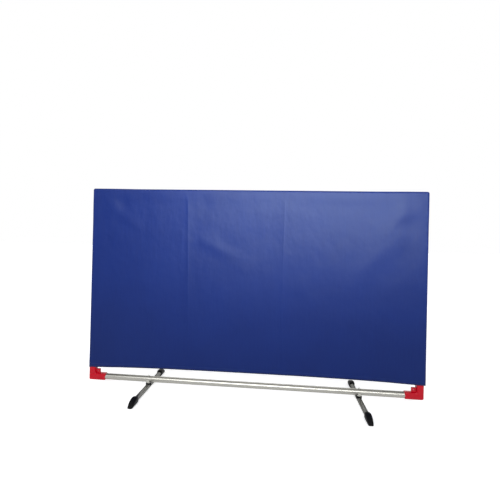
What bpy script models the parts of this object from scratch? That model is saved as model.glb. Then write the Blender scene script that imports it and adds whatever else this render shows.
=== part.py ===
"""A table tennis barrier: a tube frame in a slip-on cloth cover, on two feet that swivel under the rail.

The panel stands along X, its front faces -Y, and it stands on the floor at zero height.
"""

import math

import bmesh
import bpy
from mathutils import Matrix, Vector
import numpy as np

# Frame, over the outer faces of its four elbows
FRAME_WIDTH = 1.400
FRAME_HEIGHT = 0.833

# Round steel tubes
RAIL_DIAMETER = 0.025
FOOT_TUBE_DIAMETER = 0.019
TUBE_WALL = 0.0012

# Gap between surfaces that fit together
FIT_GAP = 0.0003

# Moulded corner elbow with a drilled web in its inner corner
ELBOW_SECTION = 0.0285
ELBOW_LEG = 0.076
ELBOW_ROUNDING = 0.007
ELBOW_PASSAGE_DIAMETER = 0.019
ELBOW_PASSAGE_STEP = 0.001
WEB_SIDE = 0.018
WEB_THICKNESS = 0.008
WEB_EDGE = 0.001
WEB_HOLE_DIAMETER = 0.005

# Countersunk self-tapping screw through the back of each elbow leg
SCREW_HEAD_DIAMETER = 0.008
SCREW_SHANK_DIAMETER = 0.004
SCREW_LENGTH = 0.0065
SCREW_POINT_LENGTH = 0.0015
SCREW_POINT_DIAMETER = 0.0015
SCREW_SINK = 0.0002
CROSS_SLOT_WIDTH = 0.0009
CROSS_SLOT_REACH = 0.0021
CROSS_SLOT_DEPTH = 0.0012

# Swivelling feet, each with its pivot set in from its end of the frame
FOOT_LENGTH = 0.406
LEFT_PIVOT_INSET = 0.264
RIGHT_PIVOT_INSET = 0.250

# Round-backed wedge shoe on each end of a foot, its height and width given at places from collar to toe
SHOE_LENGTH = 0.058
SHOE_WIDTH = 0.025
SHOE_HEIGHT = 0.0275
SHOE_SOLE = 0.0025
SHOE_SOCKET_DEPTH = 0.026
SHOE_ROUNDING = 0.009
SHOE_PLACE_SHARES = (0, 0.04, 0.12, 0.24, 0.42, 0.56, 0.7, 0.83, 0.94, 1)
SHOE_HEIGHT_SHARES = (0.91, 0.95, 0.985, 1, 0.94, 0.86, 0.74, 0.58, 0.4, 0.26)
SHOE_WIDTH_SHARES = (0.9, 0.93, 0.975, 1, 0.99, 0.96, 0.91, 0.86, 0.79, 0.73)

# Black swivel washer, hollowed to the foot tube
WASHER_DIAMETER = 0.023
WASHER_CROWN = 0.0020
WASHER_DROP = 0.0085
WASHER_EDGE = 0.0008

# Light saddle, hollowed to the bottom rail
SADDLE_TOP_DIAMETER = 0.028
SADDLE_FOOT_DIAMETER = 0.016
SADDLE_CROWN = 0.0033
SADDLE_RISE = 0.0106
SADDLE_RIM = 0.0015

# Pivot bolt with a low round head and a hexagon socket, and its lock nut
BOLT_DIAMETER = 0.006
BOLT_HEAD_DIAMETER = 0.0105
BOLT_HEAD_HEIGHT = 0.0033
BOLT_HEAD_RIM = 0.0006
BOLT_HEAD_FLAT_DIAMETER = 0.0062
BOLT_SOCKET_FLATS = 0.004
BOLT_SOCKET_DEPTH = 0.002
BOLT_END = 0.0014
NUT_FLATS = 0.010
NUT_HEIGHT = 0.005
NUT_COLLAR_DIAMETER = 0.0088
NUT_COLLAR_HEIGHT = 0.0014
NUT_ACCESS_DIAMETER = 0.013

# Cloth cover, a flat bag open at the bottom, with a little ease past each end of the frame
COVER_SIDE_EASE = 0.0045
CLOTH_THICKNESS = 0.0006
HEM_HEIGHT = 0.084
HEM_TILT = 0.004
HEM_BOW = 0.0085
HEM_BOW_POWER = 2.5
FACE_SAG = 0.0014
SAG_BLEND = 0.150
TOP_DIP = 0.0008

# Packing creases, each from the top to the hem of the cloth as shares of its width from its middle
CREASE_LINE_SHARES = ((-0.199, -0.187), (0.094, 0.088))
CREASE_RISE = 0.0014
CREASE_HALF_WIDTH = 0.016

# Tension folds, each from end to end as shares of the cloth's width from its middle and of its height
FOLD_LINE_SHARES = (
    ((-0.44, 0.93), (-0.325, 0.73)),
    ((-0.16, 0.725), (-0.04, 0.62)),
    ((0.458, 0.78), (0.245, 0.416)),
)
FOLD_RISE = 0.0016
FOLD_HALF_WIDTH = 0.045

# Fineness of the round and folded surfaces
TUBE_SIDES = 32
BOLT_SIDES = 20
SCREW_SIDES = 16
ELBOW_ROUNDING_STEPS = 3
SHOE_ROUNDING_STEPS = 4
HEAD_STEPS = 4
COVER_ROUNDING_STEPS = 3
COVER_COLUMNS = 15
COVER_ROWS = 8
SHARP_ANGLE = math.radians(35)

# How far a cutter runs past the surface it opens, and the distance at which points are one
CUT_MARGIN = 0.002
WELD_DISTANCE = 0.00002

# Heights that follow from the pieces stacked from the floor up
foot_radius = FOOT_TUBE_DIAMETER / 2
rail_radius = RAIL_DIAMETER / 2
elbow_half = ELBOW_SECTION / 2
FOOT_Z = SHOE_SOLE + FIT_GAP + foot_radius
WASHER_TOP_Z = FOOT_Z + foot_radius + FIT_GAP + WASHER_CROWN
SADDLE_FOOT_Z = WASHER_TOP_Z + FIT_GAP
RAIL_Z = SADDLE_FOOT_Z + SADDLE_CROWN + FIT_GAP + rail_radius
BOLT_HEAD_Z = RAIL_Z + rail_radius + FIT_GAP
FRAME_FOOT_Z = RAIL_Z - elbow_half
TOP_RAIL_Z = FRAME_FOOT_Z + FRAME_HEIGHT - elbow_half
UPRIGHT_X = FRAME_WIDTH / 2 - elbow_half
COVER_HALF_WIDTH = FRAME_WIDTH / 2 + COVER_SIDE_EASE

# The nut lies as high in the foot tube as its corners allow, and the bolt passes through it
foot_bore_radius = foot_radius - TUBE_WALL
nut_corner_radius = NUT_FLATS / math.sqrt(3)
NUT_TOP_Z = FOOT_Z + math.sqrt(foot_bore_radius**2 - nut_corner_radius**2) - FIT_GAP
BOLT_END_Z = NUT_TOP_Z - NUT_HEIGHT - BOLT_END

# Turns that lay a shape made along Z onto another axis
ALONG_X = (0, math.pi / 2, 0)
ALONG_Y = (-math.pi / 2, 0, 0)


def clear_scene():
    for obj in list(bpy.data.objects):
        bpy.data.objects.remove(obj, do_unlink=True)


def make_collection(name):
    collection = bpy.data.collections.new(name)
    bpy.context.scene.collection.children.link(collection)
    return collection


def make_material(name, color, roughness, metallic=0.0):
    material = bpy.data.materials.new(name)
    material.use_nodes = True
    shader = material.node_tree.nodes["Principled BSDF"]
    shader.inputs["Base Color"].default_value = (*color, 1)
    shader.inputs["Roughness"].default_value = roughness
    shader.inputs["Metallic"].default_value = metallic
    return material


def place(obj, location=(0, 0, 0), rotation=(0, 0, 0), parent=None):
    obj.parent = parent
    obj.location = location
    obj.rotation_euler = rotation
    return obj


def object_from(bm, name):
    """Turn a bmesh into an object of the parts collection."""
    mesh = bpy.data.meshes.new(name)
    bm.to_mesh(mesh)
    bm.free()
    obj = bpy.data.objects.new(name, mesh)
    parts.objects.link(obj)
    return obj


def dress(obj, material, smooth=True):
    """Give a finished piece its material and its shading."""
    obj.data.materials.clear()
    obj.data.materials.append(material)
    if smooth:
        obj.data.shade_smooth()
        obj.data.set_sharp_from_angle(angle=SHARP_ANGLE)
    return obj


def as_cutter(obj):
    parts.objects.unlink(obj)
    cutters.objects.link(obj)
    obj.hide_render = True
    obj.display_type = "WIRE"
    return obj


def combine(obj, other, operation):
    modifier = obj.modifiers.new(f"{operation.lower()} {other.name}", "BOOLEAN")
    modifier.operation = operation
    modifier.solver = "EXACT"
    modifier.object = other


def cut(obj, *tools):
    for tool in tools:
        combine(obj, tool, "DIFFERENCE")


def evaluated_mesh(obj):
    """The mesh of an object with its modifiers worked in."""
    bpy.context.view_layer.update()
    depsgraph = bpy.context.evaluated_depsgraph_get()
    return bpy.data.meshes.new_from_object(obj.evaluated_get(depsgraph))


def turned(name, profile, sides, closed=False):
    """Turn a profile of (radius, height) points, running down its outer side, about Z; a ring is closed."""
    bm = bmesh.new()
    points = [bm.verts.new((radius, 0, height)) for radius, height in profile]
    pairs = list(zip(points, points[1:]))
    if closed:
        pairs.append((points[-1], points[0]))
    for pair in pairs:
        bm.edges.new(pair)
    obj = object_from(bm, name)
    turn = obj.modifiers.new("turn", "SCREW")
    turn.steps = sides
    turn.render_steps = sides
    turn.use_merge_vertices = True
    turn.merge_threshold = WELD_DISTANCE
    obj.data = evaluated_mesh(obj)
    obj.modifiers.clear()
    return obj


def rod(name, radius, length, sides):
    """A plain round bar about Z, centred on its own origin."""
    half = length / 2
    return turned(name, [(0, half), (radius, half), (radius, -half), (0, -half)], sides)


def tube(name, diameter, length):
    """An open-ended round tube about Z, centred on its own origin."""
    outer = diameter / 2
    inner = outer - TUBE_WALL
    half = length / 2
    profile = [(inner, half), (outer, half), (outer, -half), (inner, -half)]
    return turned(name, profile, TUBE_SIDES, closed=True)


def box(low, high):
    """A bmesh box between two opposite corners."""
    size = Vector(high) - Vector(low)
    middle = (Vector(high) + Vector(low)) / 2
    bm = bmesh.new()
    bmesh.ops.create_cube(bm, size=1, matrix=Matrix.Translation(middle) @ Matrix.Diagonal(size).to_4x4())
    return bm


def round_edges(bm, edges, radius, steps):
    bmesh.ops.bevel(bm, geom=edges, offset=radius, segments=steps, profile=0.5, affect="EDGES", material=-1)


def hexagon_bar(name, flats, low, high):
    """A six-sided bar about Z, given by the distance between its flats."""
    corner = flats / math.sqrt(3)
    bm = bmesh.new()
    middle = Matrix.Translation((0, 0, (low + high) / 2))
    bmesh.ops.create_cone(
        bm, cap_ends=True, segments=6, radius1=corner, radius2=corner, depth=high - low, matrix=middle
    )
    return object_from(bm, name)


def along_line(place_shares, value_shares, share):
    return float(np.interp(share, place_shares, value_shares))


def smooth_step(share):
    share = min(max(share, 0), 1)
    return share * share * (3 - 2 * share)


def elbow_solid(name):
    """One elbow, its tube axes crossing at its origin and its legs along +X and +Z."""
    bm = box([-elbow_half] * 3, [elbow_half] * 3)
    for axis in (Vector((1, 0, 0)), Vector((0, 0, 1))):
        end = min(bm.faces, key=lambda face: (face.calc_center_median() - axis * elbow_half).length)
        extruded = bmesh.ops.extrude_discrete_faces(bm, faces=[end])["faces"][0]
        bmesh.ops.translate(bm, verts=extruded.verts, vec=axis * (ELBOW_LEG - ELBOW_SECTION))
    bmesh.ops.dissolve_limit(bm, angle_limit=SHARP_ANGLE, verts=bm.verts, edges=bm.edges)
    round_edges(bm, bm.edges[:], ELBOW_ROUNDING, ELBOW_ROUNDING_STEPS)
    return object_from(bm, name)


def screw_profile(gap):
    """The outline of a countersunk screw below its flush head, grown by a gap for the hole it sits in."""
    head = SCREW_HEAD_DIAMETER / 2
    shank = SCREW_SHANK_DIAMETER / 2
    neck_z = -SCREW_SINK - (head - shank)
    return head + gap, shank + gap, neck_z


def screw_hole(name):
    """The cutter of a countersunk hole, about Z, with the outer surface at zero height."""
    head, shank, neck_z = screw_profile(FIT_GAP)
    top = CUT_MARGIN
    bottom = -SCREW_LENGTH - CUT_MARGIN
    profile = [(0, top), (head, top), (head, -SCREW_SINK), (shank, neck_z), (shank, bottom), (0, bottom)]
    return as_cutter(turned(name, profile, SCREW_SIDES))


def screw_solid(name):
    """A countersunk self-tapping screw with a cross recess, about Z."""
    head, shank, neck_z = screw_profile(0)
    point = SCREW_POINT_DIAMETER / 2
    point_z = SCREW_POINT_LENGTH - SCREW_LENGTH
    profile = [
        (0, -SCREW_SINK),
        (head, -SCREW_SINK),
        (shank, neck_z),
        (shank, point_z),
        (point, -SCREW_LENGTH),
        (0, -SCREW_LENGTH),
    ]
    screw = turned(name, profile, SCREW_SIDES)
    slot = CROSS_SLOT_WIDTH / 2
    bm = box((-slot, -slot, -CROSS_SLOT_DEPTH - SCREW_SINK), (slot, slot, CUT_MARGIN))
    sides = [face for face in bm.faces if math.isclose(face.normal.z, 0, abs_tol=WELD_DISTANCE)]
    for side in bmesh.ops.extrude_discrete_faces(bm, faces=sides)["faces"]:
        bmesh.ops.translate(bm, verts=side.verts, vec=side.normal * (CROSS_SLOT_REACH - slot))
    recess = as_cutter(object_from(bm, f"{name}_recess"))
    recess.parent = screw
    cut(screw, recess)
    return screw


def bore_profile(passage_radius):
    """The stepped hollow of an elbow leg, about Z, from its mouth to just past the other leg's axis."""
    socket = rail_radius + FIT_GAP
    mouth = ELBOW_LEG - elbow_half + CUT_MARGIN
    return [
        (0, mouth),
        (socket, mouth),
        (socket, elbow_half),
        (passage_radius, elbow_half),
        (passage_radius, -CUT_MARGIN),
        (0, -CUT_MARGIN),
    ]


def make_elbow(name, corner_x, corner_z, turn, leg_names):
    """One elbow at a corner of the frame, with the screw hole and the screw of each leg."""
    elbow = elbow_solid(name)
    place(elbow, (corner_x, 0, corner_z), (0, turn, 0))

    web_reach = elbow_half + WEB_SIDE
    web_half = WEB_THICKNESS / 2
    web = box((0, -web_half, 0), (web_reach, web_half, web_reach))
    round_edges(web, web.edges[:], WEB_EDGE, 1)
    web = as_cutter(object_from(web, f"{name}_web"))
    place(web, parent=elbow)
    combine(elbow, web, "UNION")

    # Each leg's socket narrows at a shoulder to a passage, and the passages meet behind the corner
    screw_reach = ELBOW_LEG / 2
    passage = ELBOW_PASSAGE_DIAMETER / 2
    legs = (
        (leg_names[0], Vector((1, 0, 0)), ALONG_X, passage),
        (leg_names[1], Vector((0, 0, 1)), (0, 0, 0), passage - ELBOW_PASSAGE_STEP / 2),
    )
    holes = {}
    for leg, along, lie, passage_radius in legs:
        bore = as_cutter(turned(f"{name}_{leg}_bore", bore_profile(passage_radius), TUBE_SIDES))
        place(bore, rotation=lie, parent=elbow)
        hole = screw_hole(f"{name}_{leg}_screw_hole")
        screw = screw_solid(f"{name}_{leg}_screw")
        for obj in (hole, screw):
            place(obj, along * screw_reach + Vector((0, elbow_half, 0)), ALONG_Y, elbow)
        dress(screw, steel_screw)
        cut(elbow, bore, hole)
        holes[leg] = hole

    web_middle = elbow_half + WEB_SIDE / 2
    hole_length = WEB_THICKNESS + 2 * CUT_MARGIN
    web_hole = as_cutter(rod(f"{name}_web_hole", WEB_HOLE_DIAMETER / 2, hole_length, SCREW_SIDES))
    place(web_hole, (web_middle, 0, web_middle), ALONG_Y, elbow)
    cut(elbow, web_hole)
    dress(elbow, red_plastic)
    return holes


def make_shoe(name, pivot, turn):
    """A wedge shoe, made along +Y from the pivot of its foot, with a round socket for the foot tube."""
    tip = FOOT_LENGTH / 2
    collar = tip - SHOE_LENGTH
    half = SHOE_WIDTH / 2
    bm = box((-half, collar, 0), (half, tip, SHOE_HEIGHT))
    lengthwise = []
    for edge in bm.edges:
        start, end = edge.verts
        if abs(end.co.y - start.co.y) > WELD_DISTANCE:
            lengthwise.append(edge)
    round_edges(bm, lengthwise, SHOE_ROUNDING, SHOE_ROUNDING_STEPS)
    for share in SHOE_PLACE_SHARES[1:-1]:
        everything = bm.verts[:] + bm.edges[:] + bm.faces[:]
        section = (0, collar + share * SHOE_LENGTH, 0)
        bmesh.ops.bisect_plane(bm, geom=everything, plane_co=section, plane_no=(0, 1, 0))
    for vert in bm.verts:
        share = (vert.co.y - collar) / SHOE_LENGTH
        vert.co.x *= along_line(SHOE_PLACE_SHARES, SHOE_WIDTH_SHARES, share)
        vert.co.z *= along_line(SHOE_PLACE_SHARES, SHOE_HEIGHT_SHARES, share)
    shoe = object_from(bm, name)
    place(shoe, (0, 0, -FOOT_Z), (0, 0, turn), pivot)

    depth = SHOE_SOCKET_DEPTH + CUT_MARGIN
    socket = as_cutter(rod(f"{name}_socket", foot_radius + FIT_GAP, depth, TUBE_SIDES))
    place(socket, (0, collar - CUT_MARGIN + depth / 2, FOOT_Z), ALONG_Y, shoe)
    cut(shoe, socket)
    return dress(shoe, black_plastic)


def make_bolt(name):
    """The pivot bolt, with the seat of its head at its origin and its shank running down."""
    head = BOLT_HEAD_DIAMETER / 2
    flat = BOLT_HEAD_FLAT_DIAMETER / 2
    shank = BOLT_DIAMETER / 2
    end = BOLT_END_Z - BOLT_HEAD_Z
    profile = [(0, BOLT_HEAD_HEIGHT)]
    for step in range(HEAD_STEPS + 1):
        angle = math.pi / 2 * step / HEAD_STEPS
        radius = flat + (head - flat) * math.sin(angle)
        height = BOLT_HEAD_RIM + (BOLT_HEAD_HEIGHT - BOLT_HEAD_RIM) * math.cos(angle)
        profile.append((radius, height))
    profile += [(head, 0), (shank, 0), (shank, end), (0, end)]
    bolt = turned(name, profile, BOLT_SIDES)
    seat = BOLT_HEAD_HEIGHT - BOLT_SOCKET_DEPTH
    socket = hexagon_bar(f"{name}_socket", BOLT_SOCKET_FLATS, seat, BOLT_HEAD_HEIGHT + CUT_MARGIN)
    as_cutter(socket).parent = bolt
    cut(bolt, socket)
    return dress(bolt, plated_steel)


def make_nut(name, bore):
    """The lock nut, a hexagon with a round locking collar below it, with its top at its origin."""
    nut = hexagon_bar(name, NUT_FLATS, NUT_COLLAR_HEIGHT - NUT_HEIGHT, 0)
    low = -NUT_HEIGHT
    high = low + 2 * NUT_COLLAR_HEIGHT
    collar = NUT_COLLAR_DIAMETER / 2
    profile = [(0, high), (collar, high), (collar, low), (0, low)]
    ring = as_cutter(turned(f"{name}_collar", profile, BOLT_SIDES))
    ring.parent = nut
    combine(nut, ring, "UNION")
    cut(nut, bore)
    return dress(nut, plated_steel, smooth=False)


def make_pivot(side, x):
    """Everything at one foot: saddle, washer, bolt and nut, and the foot itself on its swivel axis."""
    bore_top = BOLT_HEAD_Z + CUT_MARGIN
    bore_length = bore_top - FOOT_Z
    bore = as_cutter(rod(f"{side}_pivot_bore", BOLT_DIAMETER / 2 + FIT_GAP, bore_length, BOLT_SIDES))
    place(bore, (x, 0, (bore_top + FOOT_Z) / 2))
    cut(bottom_rail, bore)

    # The saddle opens upwards round the lower side of the rail
    rim_z = SADDLE_FOOT_Z + SADDLE_CROWN + SADDLE_RISE
    wide = SADDLE_TOP_DIAMETER / 2
    narrow = SADDLE_FOOT_DIAMETER / 2
    saddle_profile = [
        (0, rim_z),
        (wide, rim_z),
        (wide, rim_z - SADDLE_RIM),
        (narrow, SADDLE_FOOT_Z),
        (0, SADDLE_FOOT_Z),
    ]
    saddle = place(turned(f"{side}_rail_saddle", saddle_profile, TUBE_SIDES), (x, 0, 0))
    trough_length = 2 * SADDLE_TOP_DIAMETER
    trough = as_cutter(rod(f"{side}_rail_trough", rail_radius + FIT_GAP, trough_length, TUBE_SIDES))
    place(trough, (x, 0, RAIL_Z), ALONG_X)
    cut(saddle, trough, bore)
    dress(saddle, light_plastic)

    bolt = place(make_bolt(f"{side}_pivot_bolt"), (x, 0, BOLT_HEAD_Z))
    nut_bore = as_cutter(rod(f"{side}_nut_bore", BOLT_DIAMETER / 2 + FIT_GAP, 4 * NUT_HEIGHT, BOLT_SIDES))
    place(nut_bore, (x, 0, NUT_TOP_Z))
    nut = place(make_nut(f"{side}_lock_nut", nut_bore), (x, 0, NUT_TOP_Z))

    # The foot hangs from an empty on the swivel axis, at the height of its tube
    pivot = bpy.data.objects.new(f"{side}_foot_pivot", None)
    parts.objects.link(pivot)
    place(pivot, (x, 0, FOOT_Z))

    washer_top = WASHER_TOP_Z - FOOT_Z
    washer_low = washer_top - WASHER_CROWN - WASHER_DROP
    edge = WASHER_DIAMETER / 2
    washer_profile = [
        (0, washer_top),
        (edge - WASHER_EDGE, washer_top),
        (edge, washer_top - WASHER_EDGE),
        (edge, washer_low),
        (0, washer_low),
    ]
    washer = place(turned(f"{side}_swivel_washer", washer_profile, TUBE_SIDES), parent=pivot)
    groove = as_cutter(rod(f"{side}_foot_groove", foot_radius + FIT_GAP, 2 * WASHER_DIAMETER, TUBE_SIDES))
    place(groove, rotation=ALONG_Y, parent=pivot)
    cut(washer, groove, bore)
    dress(washer, black_plastic)

    tube_length = FOOT_LENGTH - 2 * (SHOE_LENGTH - SHOE_SOCKET_DEPTH + FIT_GAP)
    foot_tube = tube(f"{side}_foot_tube", FOOT_TUBE_DIAMETER, tube_length)
    place(foot_tube, rotation=ALONG_Y, parent=pivot)
    access = as_cutter(rod(f"{side}_nut_access", NUT_ACCESS_DIAMETER / 2, FOOT_TUBE_DIAMETER, BOLT_SIDES))
    place(access, (0, 0, -foot_radius), parent=pivot)
    cut(foot_tube, bore, access)
    dress(foot_tube, foot_steel)

    make_shoe(f"{side}_rear_shoe", pivot, 0)
    make_shoe(f"{side}_front_shoe", pivot, math.pi)
    return bolt, nut


def fold_share(x, z, start, end):
    """The share of a tension fold's rise at a point of the cloth, from its distance to the fold's line."""
    start, end = Vector(start), Vector(end)
    line = end - start
    point = Vector((x, z))
    along = min(max((point - start).dot(line) / line.length_squared, 0), 1)
    distance = (point - start - along * line).length
    return math.exp(-((distance / FOLD_HALF_WIDTH) ** 2))


def make_cover():
    """The cloth bag: its hem bows up, its faces sag between the tubes, and its creases and folds show."""
    wrap = FIT_GAP + CLOTH_THICKNESS
    half_depth = elbow_half + wrap
    width = 2 * COVER_HALF_WIDTH
    top = FRAME_FOOT_Z + FRAME_HEIGHT + wrap
    height = top - HEM_HEIGHT
    bm = box((-COVER_HALF_WIDTH, -half_depth, HEM_HEIGHT), (COVER_HALF_WIDTH, half_depth, top))
    opening = min(bm.faces, key=lambda face: face.calc_center_median().z)
    rim = set(opening.edges)
    bmesh.ops.delete(bm, geom=[opening], context="FACES_ONLY")
    folded = [edge for edge in bm.edges if edge not in rim]
    round_edges(bm, folded, ELBOW_ROUNDING + wrap, COVER_ROUNDING_STEPS)

    creases = [(width * at_top, width * at_hem) for at_top, at_hem in CREASE_LINE_SHARES]
    cuts = []
    for column in range(1, COVER_COLUMNS):
        x = width * column / COVER_COLUMNS - COVER_HALF_WIDTH
        if all(abs(x - (high + low) / 2) > 2 * CREASE_HALF_WIDTH for high, low in creases):
            cuts.append(((x, 0, 0), (1, 0, 0)))
    for high, low in creases:
        for side in (-CREASE_HALF_WIDTH, 0, CREASE_HALF_WIDTH):
            cuts.append(((high + side, 0, top), (height, 0, low - high)))
    for row in range(1, COVER_ROWS):
        cuts.append(((0, 0, HEM_HEIGHT + height * row / COVER_ROWS), (0, 0, 1)))
    for point, normal in cuts:
        everything = bm.verts[:] + bm.edges[:] + bm.faces[:]
        bmesh.ops.bisect_plane(bm, geom=everything, plane_co=point, plane_no=normal)

    clear_half = FRAME_WIDTH / 2 - ELBOW_LEG
    for vert in bm.verts:
        x, y, z = vert.co
        inside = smooth_step((clear_half - abs(x)) / SAG_BLEND)
        below = smooth_step((top - z) / SAG_BLEND)
        if abs(y) > half_depth - FIT_GAP:
            crease = 0
            for high, low in creases:
                line_x = low + (high - low) * (z - HEM_HEIGHT) / height
                crease = max(crease, 1 - abs(x - line_x) / CREASE_HALF_WIDTH)
            fold = 0
            for start, end in FOLD_LINE_SHARES:
                ends = [(width * across, HEM_HEIGHT + height * up) for across, up in (start, end)]
                fold = max(fold, fold_share(x, z, *ends))
            outward = math.copysign(1, y)
            vert.co.y -= outward * FACE_SAG * inside * below
            vert.co.y -= inside * below * (CREASE_RISE * max(crease, 0) + FOLD_RISE * fold)
        if z > top - CLOTH_THICKNESS:
            vert.co.z -= TOP_DIP * inside
        if z < HEM_HEIGHT + CLOTH_THICKNESS:
            bow = 1 - (abs(x) / COVER_HALF_WIDTH) ** HEM_BOW_POWER
            vert.co.z = HEM_HEIGHT + HEM_TILT * x / width + HEM_BOW * bow
    cover = object_from(bm, "cover")
    shell = cover.modifiers.new("cloth", "SOLIDIFY")
    shell.thickness = CLOTH_THICKNESS
    shell.offset = -1
    shell.use_even_offset = True
    return dress(cover, blue_cloth)


clear_scene()
parts = make_collection("table_tennis_barrier")
cutters = make_collection("cutters")

blue_cloth = make_material("blue_cloth", (0.03, 0.07, 0.30), 0.85)
red_plastic = make_material("red_plastic", (0.62, 0.01, 0.03), 0.25)
black_plastic = make_material("black_plastic", (0.02, 0.02, 0.02), 0.55)
light_plastic = make_material("light_plastic", (0.66, 0.66, 0.60), 0.45)
rail_steel = make_material("rail_steel", (0.62, 0.61, 0.57), 0.35, 1.0)
foot_steel = make_material("foot_steel", (0.60, 0.60, 0.60), 0.25, 1.0)
plated_steel = make_material("plated_steel", (0.70, 0.70, 0.70), 0.25, 1.0)
steel_screw = make_material("steel_screw", (0.50, 0.50, 0.50), 0.35, 1.0)

# The frame's four tubes end just short of the shoulders inside the elbows
end_room = 2 * (ELBOW_SECTION + FIT_GAP)
bottom_rail = tube("bottom_rail", RAIL_DIAMETER, FRAME_WIDTH - end_room)
place(bottom_rail, (0, 0, RAIL_Z), ALONG_X)
top_rail = tube("top_rail", RAIL_DIAMETER, FRAME_WIDTH - end_room)
place(top_rail, (0, 0, TOP_RAIL_Z), ALONG_X)
middle_z = (RAIL_Z + TOP_RAIL_Z) / 2
left_upright = tube("left_upright", RAIL_DIAMETER, FRAME_HEIGHT - end_room)
place(left_upright, (-UPRIGHT_X, 0, middle_z))
right_upright = tube("right_upright", RAIL_DIAMETER, FRAME_HEIGHT - end_room)
place(right_upright, (UPRIGHT_X, 0, middle_z))

# One moulding serves all four corners, turned about Y, so the order of its legs changes with the corner
quarter = math.pi / 2
corners = (
    ("elbow_bottom_left", -UPRIGHT_X, RAIL_Z, 0, ("rail", "upright"), bottom_rail, left_upright),
    ("elbow_top_left", -UPRIGHT_X, TOP_RAIL_Z, quarter, ("upright", "rail"), top_rail, left_upright),
    ("elbow_top_right", UPRIGHT_X, TOP_RAIL_Z, 2 * quarter, ("rail", "upright"), top_rail, right_upright),
    ("elbow_bottom_right", UPRIGHT_X, RAIL_Z, 3 * quarter, ("upright", "rail"), bottom_rail, right_upright),
)
for name, x, z, turn, legs, rail, upright in corners:
    holes = make_elbow(name, x, z, turn, legs)
    cut(rail, holes["rail"])
    cut(upright, holes["upright"])

make_pivot("left", LEFT_PIVOT_INSET - FRAME_WIDTH / 2)
make_pivot("right", FRAME_WIDTH / 2 - RIGHT_PIVOT_INSET)
for frame_tube in (bottom_rail, top_rail, left_upright, right_upright):
    dress(frame_tube, rail_steel)
make_cover()
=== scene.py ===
# %% [markdown]
# # A table tennis barrier
# A low wall that keeps the ball in its court: a cloth bag slipped over a tube frame that stands on two cross feet.
# The engineering model gives every piece's place and size, so it is loaded first and measured. Each visible piece is
# then made again with a fine surface in exactly the same place, because the loaded meshes are coarse facets. Working
# in metres in the model's own frame means that nothing has to be fitted by eye.

import math

import bmesh
import bpy
from mathutils import Euler, Matrix, Vector, noise


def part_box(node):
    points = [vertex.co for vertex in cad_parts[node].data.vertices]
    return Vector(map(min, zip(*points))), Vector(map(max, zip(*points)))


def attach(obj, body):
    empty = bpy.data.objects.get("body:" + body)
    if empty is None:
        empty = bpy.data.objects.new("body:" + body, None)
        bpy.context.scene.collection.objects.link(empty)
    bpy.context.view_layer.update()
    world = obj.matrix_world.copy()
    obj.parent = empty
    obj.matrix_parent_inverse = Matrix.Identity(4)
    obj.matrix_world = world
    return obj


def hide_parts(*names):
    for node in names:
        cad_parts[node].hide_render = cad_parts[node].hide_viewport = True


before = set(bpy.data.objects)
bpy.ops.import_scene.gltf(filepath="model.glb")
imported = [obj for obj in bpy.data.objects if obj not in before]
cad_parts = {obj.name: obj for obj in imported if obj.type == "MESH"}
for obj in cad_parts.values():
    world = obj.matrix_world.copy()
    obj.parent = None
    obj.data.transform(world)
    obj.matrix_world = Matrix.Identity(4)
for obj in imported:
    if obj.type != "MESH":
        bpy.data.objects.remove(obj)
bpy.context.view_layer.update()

# %% [markdown]
# ## The camera
# The view is from close by, a little right of the middle, through a wide lens held almost level. That is why the left
# end of the barrier looks smaller than the right. A camera is easiest to place with a chain of turns: stand it
# upright, turn it left, then lean it by its small roll. The lens follows from the focal length in pixels on a picture
# 500 pixels wide.

# %% Place the camera
PICTURE_PIXELS, FOCAL_PIXELS, SHIFT_PIXELS = 500, 372.5, (8.0, -11.5)
CAMERA_PLACE = (0.112, -1.567, 0.645)
TURN, TILT, ROLL = 5.732, 0.39, 1.357
camera_data = bpy.data.cameras.new("camera")
camera_data.sensor_width = 36
camera_data.lens = FOCAL_PIXELS / PICTURE_PIXELS * camera_data.sensor_width
camera_data.shift_x, camera_data.shift_y = (pixels / PICTURE_PIXELS for pixels in SHIFT_PIXELS)
camera = bpy.data.objects.new("camera", camera_data)
bpy.context.scene.collection.objects.link(camera)
turn_left = Matrix.Rotation(math.radians(TURN), 4, "Z")
stand_up = Matrix.Rotation(math.radians(90 + TILT), 4, "X")
lean = Matrix.Rotation(math.radians(ROLL), 4, "Z")
camera.matrix_world = Matrix.Translation(CAMERA_PLACE) @ turn_left @ stand_up @ lean
bpy.context.scene.camera = camera
print("lens", round(camera_data.lens, 2), "mm")

# %% [markdown]
# ## Where things are
# Four tubes and four corner elbows make the frame. Their middles are read from the loaded nodes, so a fine piece can
# never drift away from the solid that it stands for.

# %% Measure the frame's axes
def middle_of(node):
    low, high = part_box(node)
    return (low + high) / 2


RAIL_Z = middle_of("bottom_rail").z
TOP_RAIL_Z = middle_of("top_rail").z
UPRIGHT_X = middle_of("right_upright").x
FOOT_Z = middle_of("left_foot_tube").z
PIVOT_X = {"left": middle_of("left_foot_tube").x, "right": middle_of("right_foot_tube").x}
print("rail", round(RAIL_Z, 4), "top rail", round(TOP_RAIL_Z, 4))
print("feet", {side: round(x, 3) for side, x in PIVOT_X.items()})

# %% [markdown]
# ## From bmesh to piece
# Every piece goes through the same steps: a bmesh becomes an object, is shaded smooth with its hard edges kept, gets
# a material, rides on a body of the model and takes the place of its coarse node. A weighted-normal modifier keeps
# large flats flat beside small roundings. A repeated piece is a copy of one pattern, moved in its mesh and not as an
# object.

# %% Make pieces from bmeshes
def piece_with(mesh, name):
    piece = bpy.data.objects.new(name, mesh)
    bpy.context.scene.collection.objects.link(piece)
    return piece


def piece_from(bm, name):
    mesh = bpy.data.meshes.new(name)
    bm.to_mesh(mesh)
    bm.free()
    return piece_with(mesh, name)


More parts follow.
